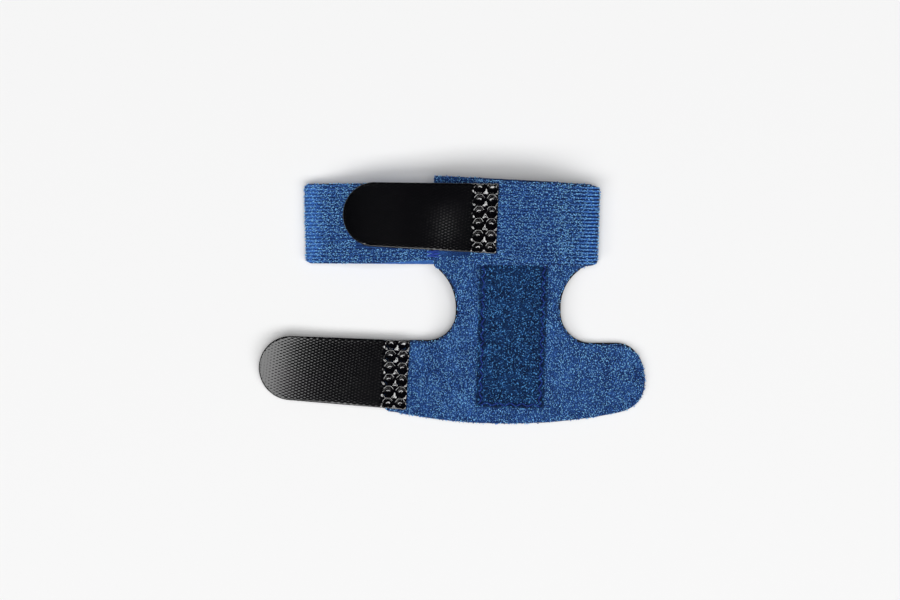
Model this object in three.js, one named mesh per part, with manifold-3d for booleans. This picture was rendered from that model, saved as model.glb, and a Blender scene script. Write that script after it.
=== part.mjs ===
// A soft finger splint of plush laminate as it lies on a table: a waisted panel with a stay pocket on it, a
// long strap that is sewn to the panel's left edge and goes once round it, and two welded hook tabs.
import * as THREE from "three";
import { mergeVertices } from "three/addons/utils/BufferGeometryUtils.js";
import Module from "manifold-3d";

const wasm = await Module();
wasm.setup();

// Lengths are millimetres and angles are degrees. X runs across the panel, Y up the finger and Z off the
// table. X = 0 is the middle of the waist, and Y = 0 is the upper end of the waist's straight sides.

// Clearance between pieces that lie on or against each other
const layGap = 0.15;

const strap = {
  width: 19,
  thickness: 1.4,
  lowEdge: 10.5, // height of its lower edge above the waist
  edgeRound: 0.35, // how far its faces stop short of its edges
  leftReach: 30.7, // from the seam to the outside of the left fold
  seamTaper: 14, // length over which it narrows to the seam
  lap: 30.7, // from the outside of the right fold back to the welded end
  endRadius: 2.4,
};

// Height at its middle of the space that a finger goes through, between the strap's lower run and what
// arches over it
const hollowHeight = 4.4;

const panel = {
  thickness: 2,
  waistWidth: 25.1,
  waistLength: 1.1,
  depth: 27.9, // from the waist down to the middle of the bottom edge
  topOverhang: 1.85, // how far the top left corner stands past the strap
  topFall: 1.9, // how much lower the top right corner is
  upperLeft: 17.7, // from the middle line to the edge that the strap is sewn to
  upperRight: 19.4,
  rightLean: 2,
  leftFlankRadius: 11.9,
  rightFlankRadius: 10.95,
  leftShoulderRadius: 6.7,
  rightShoulderRadius: 7.4,
  leftWing: 28.7,
  leftWingSlant: 1.3,
  leftWingRound: 2.6,
  rightWing: 32.8,
  rightWingRound: 7,
  rightWingPeak: 9.1, // from the right wing's upper edge down to its furthest point
  bottomRadius: 134,
  cornerRadius: 0.8,
  crownRound: 7.5, // length over which the slope eases into the level upper part
  crownMargin: 1.2, // how far the level part goes on below the strap
};

// X at which the arch over the finger's space starts to fall and is down at each side, and the same for the
// wings' sag to the table
const arch = { leftStart: -31, leftFoot: -46, rightStart: 8, rightFoot: 19 };
const sag = { leftStart: -8, leftFoot: -27.5, rightStart: 6, rightFoot: 20, fade: 14.5 };

const pocket = {
  width: 16.3,
  thickness: 1,
  bottomMargin: 3.8,
  topMargin: 3.8,
  offset: 1.1, // of its middle from the middle line of the waist
  lean: 1.5,
  cornerRadius: 0.8,
};

// The strap's folds at the left and round the panel's right edge, and where it climbs onto the pocket
const fold = {
  leftRadius: 0.78,
  room: 0.5, // between the panel's edge and the strap's inside
  rightRadius: 1.2,
  climb: 3,
};

const hookTab = {
  tipWidth: 15.4,
  weldWidth: 16.6,
  thickness: 1,
};

const weld = {
  rows: 6,
  columns: 2,
  rowPitch: 2.85,
  columnPitch: 3,
  pitRadius: 1.1,
  pitDepth: 0.45,
  edgeMargin: 1.5, // from the tab's square end to the first column
};

// Each tab's length, how far it overlaps what it is welded to and its turn; then the strap tab's shift
// towards the top and the length over which it comes down, and the droop and twist of the wing tab's tip
const strapTab = { length: 36.9, overlap: 6.5, shift: 0.75, turn: -2.2, descent: 18.5 };
const wingTab = { length: 35.8, overlap: 5.5, turn: -3.4, tipDrop: 0.7, tipTwist: 4.5 };

const radians = THREE.MathUtils.degToRad;

// Levels of the stack, from the table up
const crown = strap.thickness + hollowHeight;
const panelTop = crown + panel.thickness;
const lapOnPanel = panelTop + layGap;
const lapOnPocket = lapOnPanel + pocket.thickness + layGap;
const lapTop = lapOnPocket + strap.thickness;
const foldLevel = strap.thickness + layGap;

// Edges that several pieces share
const halfWaist = panel.waistWidth / 2;
const strapMiddle = strap.lowEdge + strap.width / 2;
const panelHigh = strap.lowEdge + strap.width + panel.topOverhang;
const leftWingTop = -panel.waistLength - panel.leftShoulderRadius;
const rightWingTop = -panel.waistLength - panel.rightShoulderRadius;
const crownLine = strap.lowEdge - panel.crownMargin;
const slopeLength = crownLine + panel.depth;

// X of the panel's right edge at a height y, which leans outwards towards the top
function rightEdgeAt(y) {
  return panel.upperRight + (y - strap.lowEdge) * Math.tan(radians(panel.rightLean));
}

// Y of the panel's bottom edge, a shallow arc
function bottomEdgeAt(x) {
  return -panel.depth + panel.bottomRadius - Math.sqrt(panel.bottomRadius ** 2 - x ** 2);
}

// How far a form that is whole in the middle has fallen at x, from 0 to 1
function fallen(x, { leftStart, leftFoot, rightStart, rightFoot }) {
  const left = THREE.MathUtils.smoothstep(-x, -leftStart, -leftFoot);
  return left + THREE.MathUtils.smoothstep(x, rightStart, rightFoot);
}

// Underside of the arch over the finger's space, which the panel's upper part and the strap's upper run form
function archUnder(x) {
  return crown - (crown - foldLevel) * fallen(x, arch);
}

// Height of the panel's underside: on the table at the bottom edge, then a straight slope along its middle
// that eases into the arch over the strap, with the wings sagging to the table
function panelUnder(x, y) {
  const run = THREE.MathUtils.clamp(y + panel.depth, 0, slopeLength);
  const steepness = 1 / (slopeLength - panel.crownRound / 2);
  const intoRound = Math.max(0, run - (slopeLength - panel.crownRound));
  const rise = steepness * (run - intoRound ** 2 / (2 * panel.crownRound));
  const wing = 1 - THREE.MathUtils.smoothstep(y, rightWingTop, rightWingTop + sag.fade);
  return rise * THREE.MathUtils.lerp(archUnder(x), crown * (1 - fallen(x, sag)), wing);
}

function panelOutline() {
  const shape = new THREE.Shape();
  const quarter = 0.6; // handle length of a Bezier quarter turn, as a share of its radius
  const lowLeft = -panel.leftWing - panel.leftWingSlant;
  const bottomStart = lowLeft + panel.leftWingRound;
  const bottomEnd = panel.rightWing - panel.rightWingRound;
  const bottomCentre = panel.bottomRadius - panel.depth;
  const startAngle = -Math.PI / 2 + Math.asin(bottomStart / panel.bottomRadius);
  const endAngle = -Math.PI / 2 + Math.asin(bottomEnd / panel.bottomRadius);
  const lowRight = bottomEdgeAt(bottomEnd);
  const peak = rightWingTop - panel.rightWingPeak;
  const endHandle = quarter * panel.rightWingRound;

  shape.absarc(0, bottomCentre, panel.bottomRadius, startAngle, endAngle, false);
  shape.bezierCurveTo(
    bottomEnd + endHandle,
    lowRight - endHandle / Math.tan(endAngle),
    panel.rightWing,
    peak - quarter * (peak - lowRight),
    panel.rightWing,
    peak,
  );
  shape.bezierCurveTo(
    panel.rightWing,
    peak + quarter * panel.rightWingPeak,
    bottomEnd + endHandle,
    rightWingTop,
    bottomEnd,
    rightWingTop,
  );

  const rightShoulder = halfWaist + panel.rightShoulderRadius;
  const rightFlank = halfWaist + panel.rightFlankRadius;
  const rightOpen = Math.acos((rightFlank - panel.upperRight) / panel.rightFlankRadius);
  const shoulderY = -panel.waistLength;
  shape.absarc(rightShoulder, shoulderY, panel.rightShoulderRadius, 1.5 * Math.PI, Math.PI, true);
  shape.absarc(rightFlank, 0, panel.rightFlankRadius, Math.PI, Math.PI - rightOpen, true);

  const corner = panel.cornerRadius;
  const topRight = panelHigh - panel.topFall;
  const topRightX = rightEdgeAt(topRight);
  shape.lineTo(topRightX, topRight - corner);
  shape.quadraticCurveTo(topRightX, topRight, topRightX - corner, topRight);
  shape.lineTo(-panel.upperLeft + corner, panelHigh);
  shape.quadraticCurveTo(-panel.upperLeft, panelHigh, -panel.upperLeft, panelHigh - corner);

  const leftShoulder = -halfWaist - panel.leftShoulderRadius;
  const leftFlank = -halfWaist - panel.leftFlankRadius;
  const leftOpen = Math.acos((-panel.upperLeft - leftFlank) / panel.leftFlankRadius);
  shape.absarc(leftFlank, 0, panel.leftFlankRadius, leftOpen, 0, true);
  shape.absarc(leftShoulder, shoulderY, panel.leftShoulderRadius, 0, -Math.PI / 2, true);
  shape.lineTo(-panel.leftWing, leftWingTop);
  shape.lineTo(lowLeft, bottomEdgeAt(bottomStart) + panel.leftWingRound);
  shape.quadraticCurveTo(lowLeft, bottomEdgeAt(bottomStart), bottomStart, bottomEdgeAt(bottomStart));
  return shape;
}

// A rectangle with rounded corners, centred on the origin
function roundedRectangle(width, height, radius) {
  const shape = new THREE.Shape();
  const turns = [0, 1, 2, 3];
  turns.forEach((turn) => {
    const cornerX = (turn === 0 || turn === 3 ? 1 : -1) * (width / 2 - radius);
    const cornerY = (turn < 2 ? 1 : -1) * (height / 2 - radius);
    shape.absarc(cornerX, cornerY, radius, (turn * Math.PI) / 2, ((turn + 1) * Math.PI) / 2, false);
  });
  return shape;
}

// A hook tab's outline in its own frame: the square welded end at X = 0 and the round tip to the left
function tabOutline(length) {
  const tipRadius = hookTab.tipWidth / 2;
  const shape = new THREE.Shape();
  shape.moveTo(0, -hookTab.weldWidth / 2);
  shape.lineTo(0, hookTab.weldWidth / 2);
  shape.absarc(tipRadius - length, 0, tipRadius, Math.PI / 2, 1.5 * Math.PI, false);
  return shape;
}

function solidFrom(geometry) {
  const bare = geometry.clone();
  bare.deleteAttribute("normal");
  bare.deleteAttribute("uv");
  const merged = mergeVertices(bare);
  return new wasm.Manifold(
    new wasm.Mesh({
      numProp: 3,
      vertProperties: merged.attributes.position.array,
      triVerts: new Uint32Array(merged.index.array),
    }),
  );
}

function meshFrom(name, solid, material) {
  const made = solid.getMesh();
  const geometry = new THREE.BufferGeometry();
  geometry.setAttribute("position", new THREE.BufferAttribute(made.vertProperties, 3));
  geometry.setIndex(new THREE.BufferAttribute(made.triVerts, 1));
  geometry.computeVertexNormals();
  const mesh = new THREE.Mesh(geometry, material);
  mesh.name = name;
  return mesh;
}

// A sheet of cloth: a grid bent so that its underside follows under(x, y), cut to an outline that place
// turns and moves into the splint's frame
function sheetSolid({ outline, place, under, thickness, cell }) {
  const clear = 2; // how far the grid stands past the outline
  const prismHeight = 4 * lapTop;
  const prism = new THREE.ExtrudeGeometry(outline, {
    depth: prismHeight,
    bevelEnabled: false,
    curveSegments: 16,
  });
  prism.translate(0, 0, -prismHeight / 2);
  prism.applyMatrix4(place);
  prism.computeBoundingBox();
  const low = prism.boundingBox.min;
  const high = prism.boundingBox.max;
  const width = high.x - low.x + 2 * clear;
  const height = high.y - low.y + 2 * clear;
  const columns = Math.ceil(width / cell.x);
  const rows = Math.ceil(height / cell.y);
  const grid = new THREE.BoxGeometry(width, height, 1, columns, rows, 1);
  grid.translate((low.x + high.x) / 2, (low.y + high.y) / 2, 0);
  const position = grid.attributes.position;
  for (let i = 0; i < position.count; i++) {
    const base = under(position.getX(i), position.getY(i));
    position.setZ(i, position.getZ(i) > 0 ? base + thickness : base);
  }
  return solidFrom(grid).intersect(solidFrom(prism));
}

// The turn and place of a sheet that is drawn in its own frame
function placeAt(x, y, turn) {
  return new THREE.Matrix4().makeRotationZ(radians(turn)).setPosition(x, y, 0);
}

// A smooth curve that lies a height above surface(x) all the way, square to it
function curveAbove(surface, height, from, to, steps) {
  const nudge = 0.01;
  const points = [];
  for (let step = 0; step <= steps; step++) {
    const x = THREE.MathUtils.lerp(from, to, step / steps);
    const slope = (surface(x + nudge) - surface(x - nudge)) / (2 * nudge);
    const square = height / Math.hypot(1, slope);
    points.push(new THREE.Vector2(x - slope * square, surface(x) + square));
  }
  return new THREE.SplineCurve(points);
}

// The strap where it is sewn to the panel. Shift, spread and pinch are shares of its width, and pinch draws
// in the corners of a fold.
const seamForm = { shift: 0.015, lean: 0, spread: -0.05, pinch: 0 };

// The strap's run, seen from the front with Z up: a row for each stretch from the seam to the welded end,
// with its curve, the steps along it, and the strap's sideways shift, lean, spread and pinch at its end
function strapStretches() {
  const middle = strap.thickness / 2;
  const seam = -panel.upperLeft - layGap;
  const taperEnd = seam - strap.seamTaper;
  const leftNose = seam - strap.leftReach;
  const leftCentre = leftNose + middle + fold.leftRadius;
  const leftMiddle = middle + fold.leftRadius;
  const outside = rightEdgeAt(strapMiddle) + fold.room + strap.thickness;
  const wall = outside - middle;
  const pocketLean = strapMiddle * Math.tan(radians(pocket.lean));
  const climbTop = pocket.offset + pocket.width / 2 + pocketLean + layGap;
  const climbFoot = climbTop + fold.climb;
  const end = outside - strap.lap;
  const leanReach = 0.35; // how far its lean carries the lap's lower edge to the left
  const lapLies = (x) => {
    const onPocket = 1 - THREE.MathUtils.smoothstep(x, climbTop, climbFoot);
    return archUnder(x - leanReach) + panel.thickness + layGap + (pocket.thickness + layGap) * onPocket;
  };
  const point = (x, z) => new THREE.Vector2(x, z);
  const line = (x0, z0, x1, z1) => new THREE.LineCurve(point(x0, z0), point(x1, z1));
  const arc = (x, z, radius, from, to, clockwise) =>
    new THREE.EllipseCurve(x, z, radius, radius, radians(from), radians(to), clockwise);
  const foldCentre = wall - fold.rightRadius;
  const wallFoot = middle + fold.rightRadius;
  const lapLevel = lapLies(foldCentre) + middle;
  const wallHead = lapLevel - fold.rightRadius;
  const seamRun = line(seam, crown + middle, taperEnd, crown + middle);
  const upperRun = curveAbove(archUnder, middle, taperEnd, leftCentre, 16);
  const leftHead = arc(leftCentre, leftMiddle, fold.leftRadius, 90, 180, false);
  const leftFoot = arc(leftCentre, leftMiddle, fold.leftRadius, 180, 270, false);
  const lowerRun = line(leftCentre, middle, foldCentre, middle);
  const foldFoot = arc(foldCentre, wallFoot, fold.rightRadius, 270, 360, false);
  const foldWall = line(wall, wallFoot, wall, wallHead);
  const foldHead = arc(foldCentre, wallHead, fold.rightRadius, 0, 90, false);
  const lap = curveAbove(lapLies, middle, foldCentre, arch.rightStart, 18);
  const lapEnd = line(arch.rightStart, lapOnPocket + middle, end, lapOnPocket + middle);
  return [
    { curve: seamRun, steps: 3, shift: 0, lean: 0, spread: 0, pinch: 0 },
    { curve: upperRun, steps: 16, shift: 0, lean: -1.3, spread: 0, pinch: 0 },
    { curve: leftHead, steps: 6, shift: 0, lean: -1.3, spread: 0, pinch: 0.035 },
    { curve: leftFoot, steps: 6, shift: 0, lean: -1.3, spread: 0, pinch: 0 },
    { curve: lowerRun, steps: 8, shift: -0.025, lean: 0.5, spread: 0, pinch: 0 },
    { curve: foldFoot, steps: 6, shift: -0.03, lean: 1.5, spread: 0, pinch: 0.035 },
    { curve: foldWall, steps: 2, shift: -0.03, lean: 2, spread: 0, pinch: 0.035 },
    { curve: foldHead, steps: 6, shift: -0.03, lean: 2, spread: 0.01, pinch: 0 },
    { curve: lap, steps: 18, shift: -0.015, lean: 1.2, spread: 0.03, pinch: 0 },
    { curve: lapEnd, steps: 5, shift: 0.01, lean: 0, spread: 0.065, pinch: 0 },
  ];
}

// Every station along the strap: its middle, the directions through and across the cloth, and its half
// width, which the rounded corners bring in at the welded end
function strapStations() {
  const stations = [];
  const cornerSteps = 5;
  let from = seamForm;
  const stretches = strapStretches();
  stretches.forEach((stretch, index) => {
    const length = stretch.curve.getLength();
    const last = index === stretches.length - 1;
    const straight = last ? 1 - strap.endRadius / length : 1;
    const shares = index === 0 ? [0] : [];
    for (let step = 1; step <= stretch.steps; step++) {
      shares.push((straight * step) / stretch.steps);
    }
    for (let step = 1; last && step <= cornerSteps; step++) {
      shares.push(straight + (1 - straight) * Math.sin((step / cornerSteps) * (Math.PI / 2)));
    }
    shares.forEach((share) => {
      const at = stretch.curve.getPoint(share);
      const along = stretch.curve.getTangent(share);
      const mix = (key) => THREE.MathUtils.lerp(from[key], stretch[key], share);
      const left = last ? Math.min(strap.endRadius, (1 - share) * length) : strap.endRadius;
      const inset = strap.endRadius - Math.sqrt(strap.endRadius ** 2 - (strap.endRadius - left) ** 2);
      const lean = radians(mix("lean"));
      const ease = stretch.pinch > from.pinch ? share ** 2 : 1 - (1 - share) ** 2;
      const pinch = THREE.MathUtils.lerp(from.pinch, stretch.pinch, ease);
      stations.push({
        middle: new THREE.Vector3(at.x, strapMiddle + mix("shift") * strap.width, at.y),
        through: new THREE.Vector3(-along.y, 0, along.x),
        across: new THREE.Vector3(Math.sin(lean), Math.cos(lean), 0),
        halfWidth: strap.width * ((1 + mix("spread")) / 2 - pinch) - inset,
      });
    });
    from = stretch;
  });
  return stations;
}

// A box whose length is bent along the stations, with its long edges rounded off
function strapSolid() {
  const stations = strapStations();
  const box = new THREE.BoxGeometry(1, 1, 1, stations.length - 1, 1, 2);
  const position = box.attributes.position;
  const vertex = new THREE.Vector3();
  for (let i = 0; i < position.count; i++) {
    const station = stations[Math.round((position.getX(i) + 0.5) * (stations.length - 1))];
    const depth = position.getZ(i);
    const half = station.halfWidth - (depth === 0 ? 0 : strap.edgeRound);
    vertex
      .copy(station.middle)
      .addScaledVector(station.through, depth * strap.thickness)
      .addScaledVector(station.across, 2 * position.getY(i) * half);
    position.setXYZ(i, vertex.x, vertex.y, vertex.z);
  }
  return solidFrom(box);
}

// Two columns of round pits pressed into the top of a tab's welded end
function cutWeldPits(tab, place, under) {
  let cut = tab;
  for (let column = 0; column < weld.columns; column++) {
    for (let row = 0; row < weld.rows; row++) {
      const at = new THREE.Vector3(
        -weld.edgeMargin - column * weld.columnPitch,
        (row - (weld.rows - 1) / 2) * weld.rowPitch,
        0,
      ).applyMatrix4(place);
      const floor = under(at.x, at.y) + hookTab.thickness - weld.pitDepth;
      const pit = new THREE.CylinderGeometry(weld.pitRadius, weld.pitRadius, 2 * weld.pitDepth, 8);
      pit.rotateX(Math.PI / 2);
      pit.translate(at.x, at.y, floor + weld.pitDepth);
      cut = cut.subtract(solidFrom(pit));
    }
  }
  return cut;
}

// A hook tab: the sheet that lies over under(x, y), with its weld pits
function hookTabSolid(length, place, under) {
  const sheet = sheetSolid({
    outline: tabOutline(length),
    place,
    under,
    thickness: hookTab.thickness,
    cell: { x: 1.3, y: 4.5 },
  });
  return cutWeldPits(sheet, place, under);
}

// The strap's tab lies level on the strap's end, comes down past the panel's edge and follows the upper run
const lastStation = strapStations().at(-1);
const strapTabPlace = placeAt(
  lastStation.middle.x + strapTab.overlap,
  lastStation.middle.y + strapTab.shift,
  strapTab.turn,
);
const strapTabFrame = strapTabPlace.clone().invert();

// Upright depth of the strap's upper run, which grows with its slope
function runDepth(x) {
  const nudge = 0.5;
  const slope = (archUnder(x + nudge) - archUnder(x - nudge)) / (2 * nudge);
  return strap.thickness * Math.hypot(1, slope);
}

function strapTabUnder(x, y) {
  const run = -new THREE.Vector3(x, y, 0).applyMatrix4(strapTabFrame).x;
  const foot = strapTab.overlap + strapTab.descent;
  const down = THREE.MathUtils.smoothstep(run, strapTab.overlap, foot);
  return THREE.MathUtils.lerp(lapTop, archUnder(x) + runDepth(x), down) + layGap;
}

// The wing's tab lies on the wing, and past its end it droops a little and twists
const wingEnd = -panel.leftWing - panel.leftWingSlant / 2;
const wingMiddle = (leftWingTop + bottomEdgeAt(wingEnd)) / 2;
const wingTabPlace = placeAt(wingEnd + wingTab.overlap, wingMiddle, wingTab.turn);
const wingTabFrame = wingTabPlace.clone().invert();

function wingTabUnder(x, y) {
  const at = new THREE.Vector3(x, y, 0).applyMatrix4(wingTabFrame);
  const free = Math.max(0, (-at.x - wingTab.overlap) / (wingTab.length - wingTab.overlap));
  const twist = at.y * Math.tan(radians(wingTab.tipTwist)) * free ** 1.5;
  return panelUnder(x, y) + panel.thickness + layGap - wingTab.tipDrop * free + twist;
}

const pocketLow = bottomEdgeAt(pocket.offset) + pocket.bottomMargin;
const pocketHigh = panelHigh - panel.topFall / 2 - pocket.topMargin;
const pocketPlace = placeAt(pocket.offset, (pocketLow + pocketHigh) / 2, -pocket.lean);

const plush = new THREE.MeshStandardMaterial({ color: 0x315689, roughness: 0.95, metalness: 0 });
const pocketPlush = new THREE.MeshStandardMaterial({ color: 0x1f3f6b, roughness: 0.95, metalness: 0 });
const knit = new THREE.MeshStandardMaterial({ color: 0x325a8c, roughness: 0.95, metalness: 0 });
const hookTape = new THREE.MeshStandardMaterial({ color: 0x0f1014, roughness: 0.45, metalness: 0 });

const pieces = new THREE.Group();
pieces.add(
  meshFrom(
    "body_panel",
    sheetSolid({
      outline: panelOutline(),
      place: placeAt(0, 0, 0),
      under: panelUnder,
      thickness: panel.thickness,
      cell: { x: 2, y: 2.6 },
    }),
    plush,
  ),
  meshFrom(
    "stay_pocket",
    sheetSolid({
      outline: roundedRectangle(pocket.width, pocketHigh - pocketLow, pocket.cornerRadius),
      place: pocketPlace,
      under: (x, y) => panelUnder(x, y) + panel.thickness + layGap,
      thickness: pocket.thickness,
      cell: { x: 2, y: 2.6 },
    }),
    pocketPlush,
  ),
  meshFrom("long_strap", strapSolid(), knit),
  meshFrom("strap_hook_tab", hookTabSolid(strapTab.length, strapTabPlace, strapTabUnder), hookTape),
  meshFrom("wing_hook_tab", hookTabSolid(wingTab.length, wingTabPlace, wingTabUnder), hookTape),
);

// The splint's own frame: the middle of its box, on the table
const box = new THREE.Box3().setFromObject(pieces, true);
const centre = box.getCenter(new THREE.Vector3());
pieces.position.set(-centre.x, -centre.y, -box.min.z);

const fingerSplint = new THREE.Group();
fingerSplint.add(pieces);

export default fingerSplint;
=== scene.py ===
import math

import bmesh
import bpy
import numpy as np
from mathutils import Matrix, Vector, noise
from mathutils.bvhtree import BVHTree


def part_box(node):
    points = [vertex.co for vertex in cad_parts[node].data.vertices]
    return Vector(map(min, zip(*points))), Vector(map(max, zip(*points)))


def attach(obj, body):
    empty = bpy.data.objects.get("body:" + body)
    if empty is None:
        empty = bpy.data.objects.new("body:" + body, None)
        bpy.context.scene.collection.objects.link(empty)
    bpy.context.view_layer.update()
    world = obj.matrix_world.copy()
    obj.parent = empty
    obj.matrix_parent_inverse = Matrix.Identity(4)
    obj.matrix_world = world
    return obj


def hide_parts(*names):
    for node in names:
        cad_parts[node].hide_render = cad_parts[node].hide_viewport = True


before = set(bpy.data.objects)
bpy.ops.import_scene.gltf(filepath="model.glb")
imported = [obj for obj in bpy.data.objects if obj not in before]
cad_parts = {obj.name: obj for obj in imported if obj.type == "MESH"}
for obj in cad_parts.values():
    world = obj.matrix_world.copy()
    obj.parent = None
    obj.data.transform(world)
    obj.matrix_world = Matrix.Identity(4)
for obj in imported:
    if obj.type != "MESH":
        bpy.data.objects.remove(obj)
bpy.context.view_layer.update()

# The laminated panel
# The splint's body is one cut piece of laminate: a blue loop-pile face, a thin black foam core that shows
# as a dark line along the cut edge, and a lining. It is die cut, lies on the strap and slopes to the table.
MM = 0.001
panel_thickness = 2.0
panel_depth = 27.9
strap_thickness = 1.4
crown = strap_thickness + 4.4
slope_length = 37.2
crown_round = 7.5
wing_top = -8.5
wing_fade = 14.5
fold_level = strap_thickness + 0.15
arch_falls = {"left_start": -31, "left_foot": -46, "right_start": 8, "right_foot": 19}
wings_sag = {"left_start": -8, "left_foot": -27.5, "right_start": 6, "right_foot": 20}
core_low = 0.55
core_high = 1.05
layer_overlap = 0.05
edge_rings = (0.22, 0.33)
panel_left = 30

panel_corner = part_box("body_panel")[0] / MM
drawn_origin = Vector((panel_corner.x + panel_left, panel_corner.y + panel_depth, 0))
to_frame = Matrix.Scale(MM, 4) @ Matrix.Translation(drawn_origin)
to_drawing = to_frame.inverted()


def smoothstep(value, low, high):
    share = np.clip((value - low) / (high - low), 0, 1)
    return share * share * (3 - 2 * share)


def fallen(x, left_start, left_foot, right_start, right_foot):
    """How far a form that is whole in the middle has fallen at x, from 0 to 1."""
    return smoothstep(-x, -left_start, -left_foot) + smoothstep(x, right_start, right_foot)


def arch_under(x):
    """Underside of the arch over the finger's space, which the panel and the strap's upper run form."""
    return crown - (crown - fold_level) * fallen(x, **arch_falls)


def panel_under(x, y):
    """The panel's underside: the arch, rising up a slope from the lower edge, with the wings sagging."""
    run = np.clip(y + panel_depth, 0, slope_length)
    into_round = np.maximum(0, run - (slope_length - crown_round))
    rise = (run - into_round**2 / (2 * crown_round)) / (slope_length - crown_round / 2)
    wing = 1 - smoothstep(y, wing_top, wing_top + wing_fade)
    sagged = crown * (1 - fallen(x, **wings_sag))
    return rise * (arch_under(x) + (sagged - arch_under(x)) * wing)


def pattern_of(node):
    """The flat cut of a sheet: the underside of its solid, joined into one face and laid flat."""
    bm = bmesh.new()
    bm.from_mesh(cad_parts[node].data)
    bmesh.ops.transform(bm, matrix=to_drawing, verts=bm.verts)
    bmesh.ops.remove_doubles(bm, verts=bm.verts, dist=0.002)
    bm.normal_update()
    bmesh.ops.delete(bm, geom=[f for f in bm.faces if f.normal.z > -0.5], context="FACES")
    for vert in bm.verts:
        vert.co.z = 0
    bmesh.ops.remove_doubles(bm, verts=bm.verts, dist=0.06)
    bmesh.ops.dissolve_faces(bm, faces=bm.faces[:])
    bm.faces.ensure_lookup_table()
    if bm.faces[0].normal.z < 0:
        bmesh.ops.reverse_faces(bm, faces=bm.faces[:])
    return bm


def trim(bm, amount):
    """Moves the outline inwards by amount(x, y)."""
    corners = [loop.vert for loop in bm.faces[0].loops]
    moved = []
    for i, vert in enumerate(corners):
        along = (corners[(i + 1) % len(corners)].co - corners[i - 1].co).normalized()
        moved.append(vert.co - Vector((along.y, -along.x, 0)) * amount(vert.co.x, vert.co.y))
    for vert, place in zip(corners, moved):
        vert.co = place


def rule_grid(bm, columns, rows):
    """Insets the outline twice, for the rounded edge, and rules the face into cells."""
    edge = bm.verts.layers.float.new("edge")
    inner = bm.faces[:]
    for reach in edge_rings:
        bmesh.ops.inset_region(
            bm, faces=inner, thickness=reach, use_boundary=True, use_even_offset=True
        )
        for face in inner:
            for vert in face.verts:
                vert[edge] = vert[edge] + reach
    for axis, places in ((Vector((1, 0, 0)), columns), (Vector((0, 1, 0)), rows)):
        for place in places:
            geometry = bm.verts[:] + bm.edges[:] + bm.faces[:]
            bmesh.ops.bisect_plane(
                bm, geom=geometry, dist=0.001, plane_co=axis * float(place), plane_no=axis
            )


def thicken(bm, low, high, under, turn, foot_turn=0.15):
    """Gives the flat sheet its thickness and lays it over under(x, y), with turned edges."""
    edge = bm.verts.layers.float["edge"]
    raised = bmesh.ops.extrude_face_region(bm, geom=bm.faces[:])["geom"]
    upper = {v for v in raised if isinstance(v, bmesh.types.BMVert)}
    for vert in bm.verts:
        inward = min(vert[edge] / sum(edge_rings), 1)
        drop = 1 - math.sqrt(max(0, 1 - (1 - inward) ** 2))
        height = high - turn * drop if vert in upper else low + foot_turn * drop
        vert.co.z = float(under(vert.co.x, vert.co.y)) + height
    bmesh.ops.recalc_face_normals(bm, faces=bm.faces[:])


def mesh_from(bm, name):
    mesh = bpy.data.meshes.new(name)
    bm.to_mesh(mesh)
    bm.free()
    return mesh


def subdivided(mesh, levels):
    """The mesh with its subdivision surface applied."""
    obj = bpy.data.objects.new("work", mesh)
    bpy.context.scene.collection.objects.link(obj)
    surface = obj.modifiers.new("surface", "SUBSURF")
    surface.levels = levels
    surface.render_levels = levels
    made = bpy.data.meshes.new_from_object(obj.evaluated_get(bpy.context.evaluated_depsgraph_get()))
    made.name = mesh.name
    bpy.data.objects.remove(obj)
    return made


def places_of(mesh, key="co"):
    """The places of a mesh's points, or their normals, as rows."""
    source = mesh.vertices if key == "co" else mesh.vertex_normals
    found = np.empty(len(mesh.vertices) * 3)
    source.foreach_get("co" if key == "co" else "vector", found)
    return found.reshape(-1, 3)


def lumps(places, size, seed):
    """Smooth noise from -1 to 1 with lumps of the given size at each place."""
    shift = Vector((seed * 7.3, seed * 3.1, seed * 5.7))
    return np.array([noise.noise(Vector(p) / size + shift) for p in places])


def raise_surface(mesh, heights):
    """Moves each point along its normal by its height."""
    places = places_of(mesh) + places_of(mesh, "normal") * np.asarray(heights)[:, None]
    mesh.vertices.foreach_set("co", places.ravel())
    mesh.update()


def shade_with(mesh, values):
    """Keeps how light each point of the cloth is, from 0 to 1, for its material."""
    layer = mesh.attributes.new("shade", "FLOAT", "POINT")
    layer.data.foreach_set("value", np.clip(values, 0, 1).astype(np.float32))


def shade_evenly(mesh, shade):
    shade_with(mesh, np.full(len(mesh.vertices), shade))


def piece(name, mesh, material):
    """Puts a finished mesh in the splint's frame, as a piece of the object."""
    mesh.name = name
    mesh.transform(to_frame)
    on_table = places_of(mesh)
    on_table[:, 2] = np.maximum(on_table[:, 2], 0)
    mesh.vertices.foreach_set("co", on_table.ravel())
    for polygon in mesh.polygons:
        polygon.use_smooth = True
    mesh.materials.clear()
    mesh.materials.append(material)
    obj = bpy.data.objects.new(name, mesh)
    bpy.context.scene.collection.objects.link(obj)
    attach(obj, "root")
    return obj


def node_in(tree, kind, inputs=(), **settings):
    """A shader node with its settings and inputs, where an input is a number, a colour or a socket."""
    node = tree.nodes.new(kind)
    for key, value in settings.items():
        setattr(node, key, value)
    for key, value in dict(inputs).items():
        if isinstance(value, bpy.types.NodeSocket):
            tree.links.new(value, node.inputs[key])
        else:
            node.inputs[key].default_value = value
    return node


def ramp_in(tree, factor, stops):
    """The colour socket of a ramp through stops, each a place from 0 to 1 and its colour."""
    ramp = node_in(tree, "ShaderNodeValToRGB", {"Fac": factor})
    elements = ramp.color_ramp.elements
    while len(elements) < len(stops):
        elements.new(0.5)
    for element, (place, colour) in zip(elements, stops):
        element.position = place
        element.color = (*colour, 1)
    return ramp.outputs["Color"]


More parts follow.
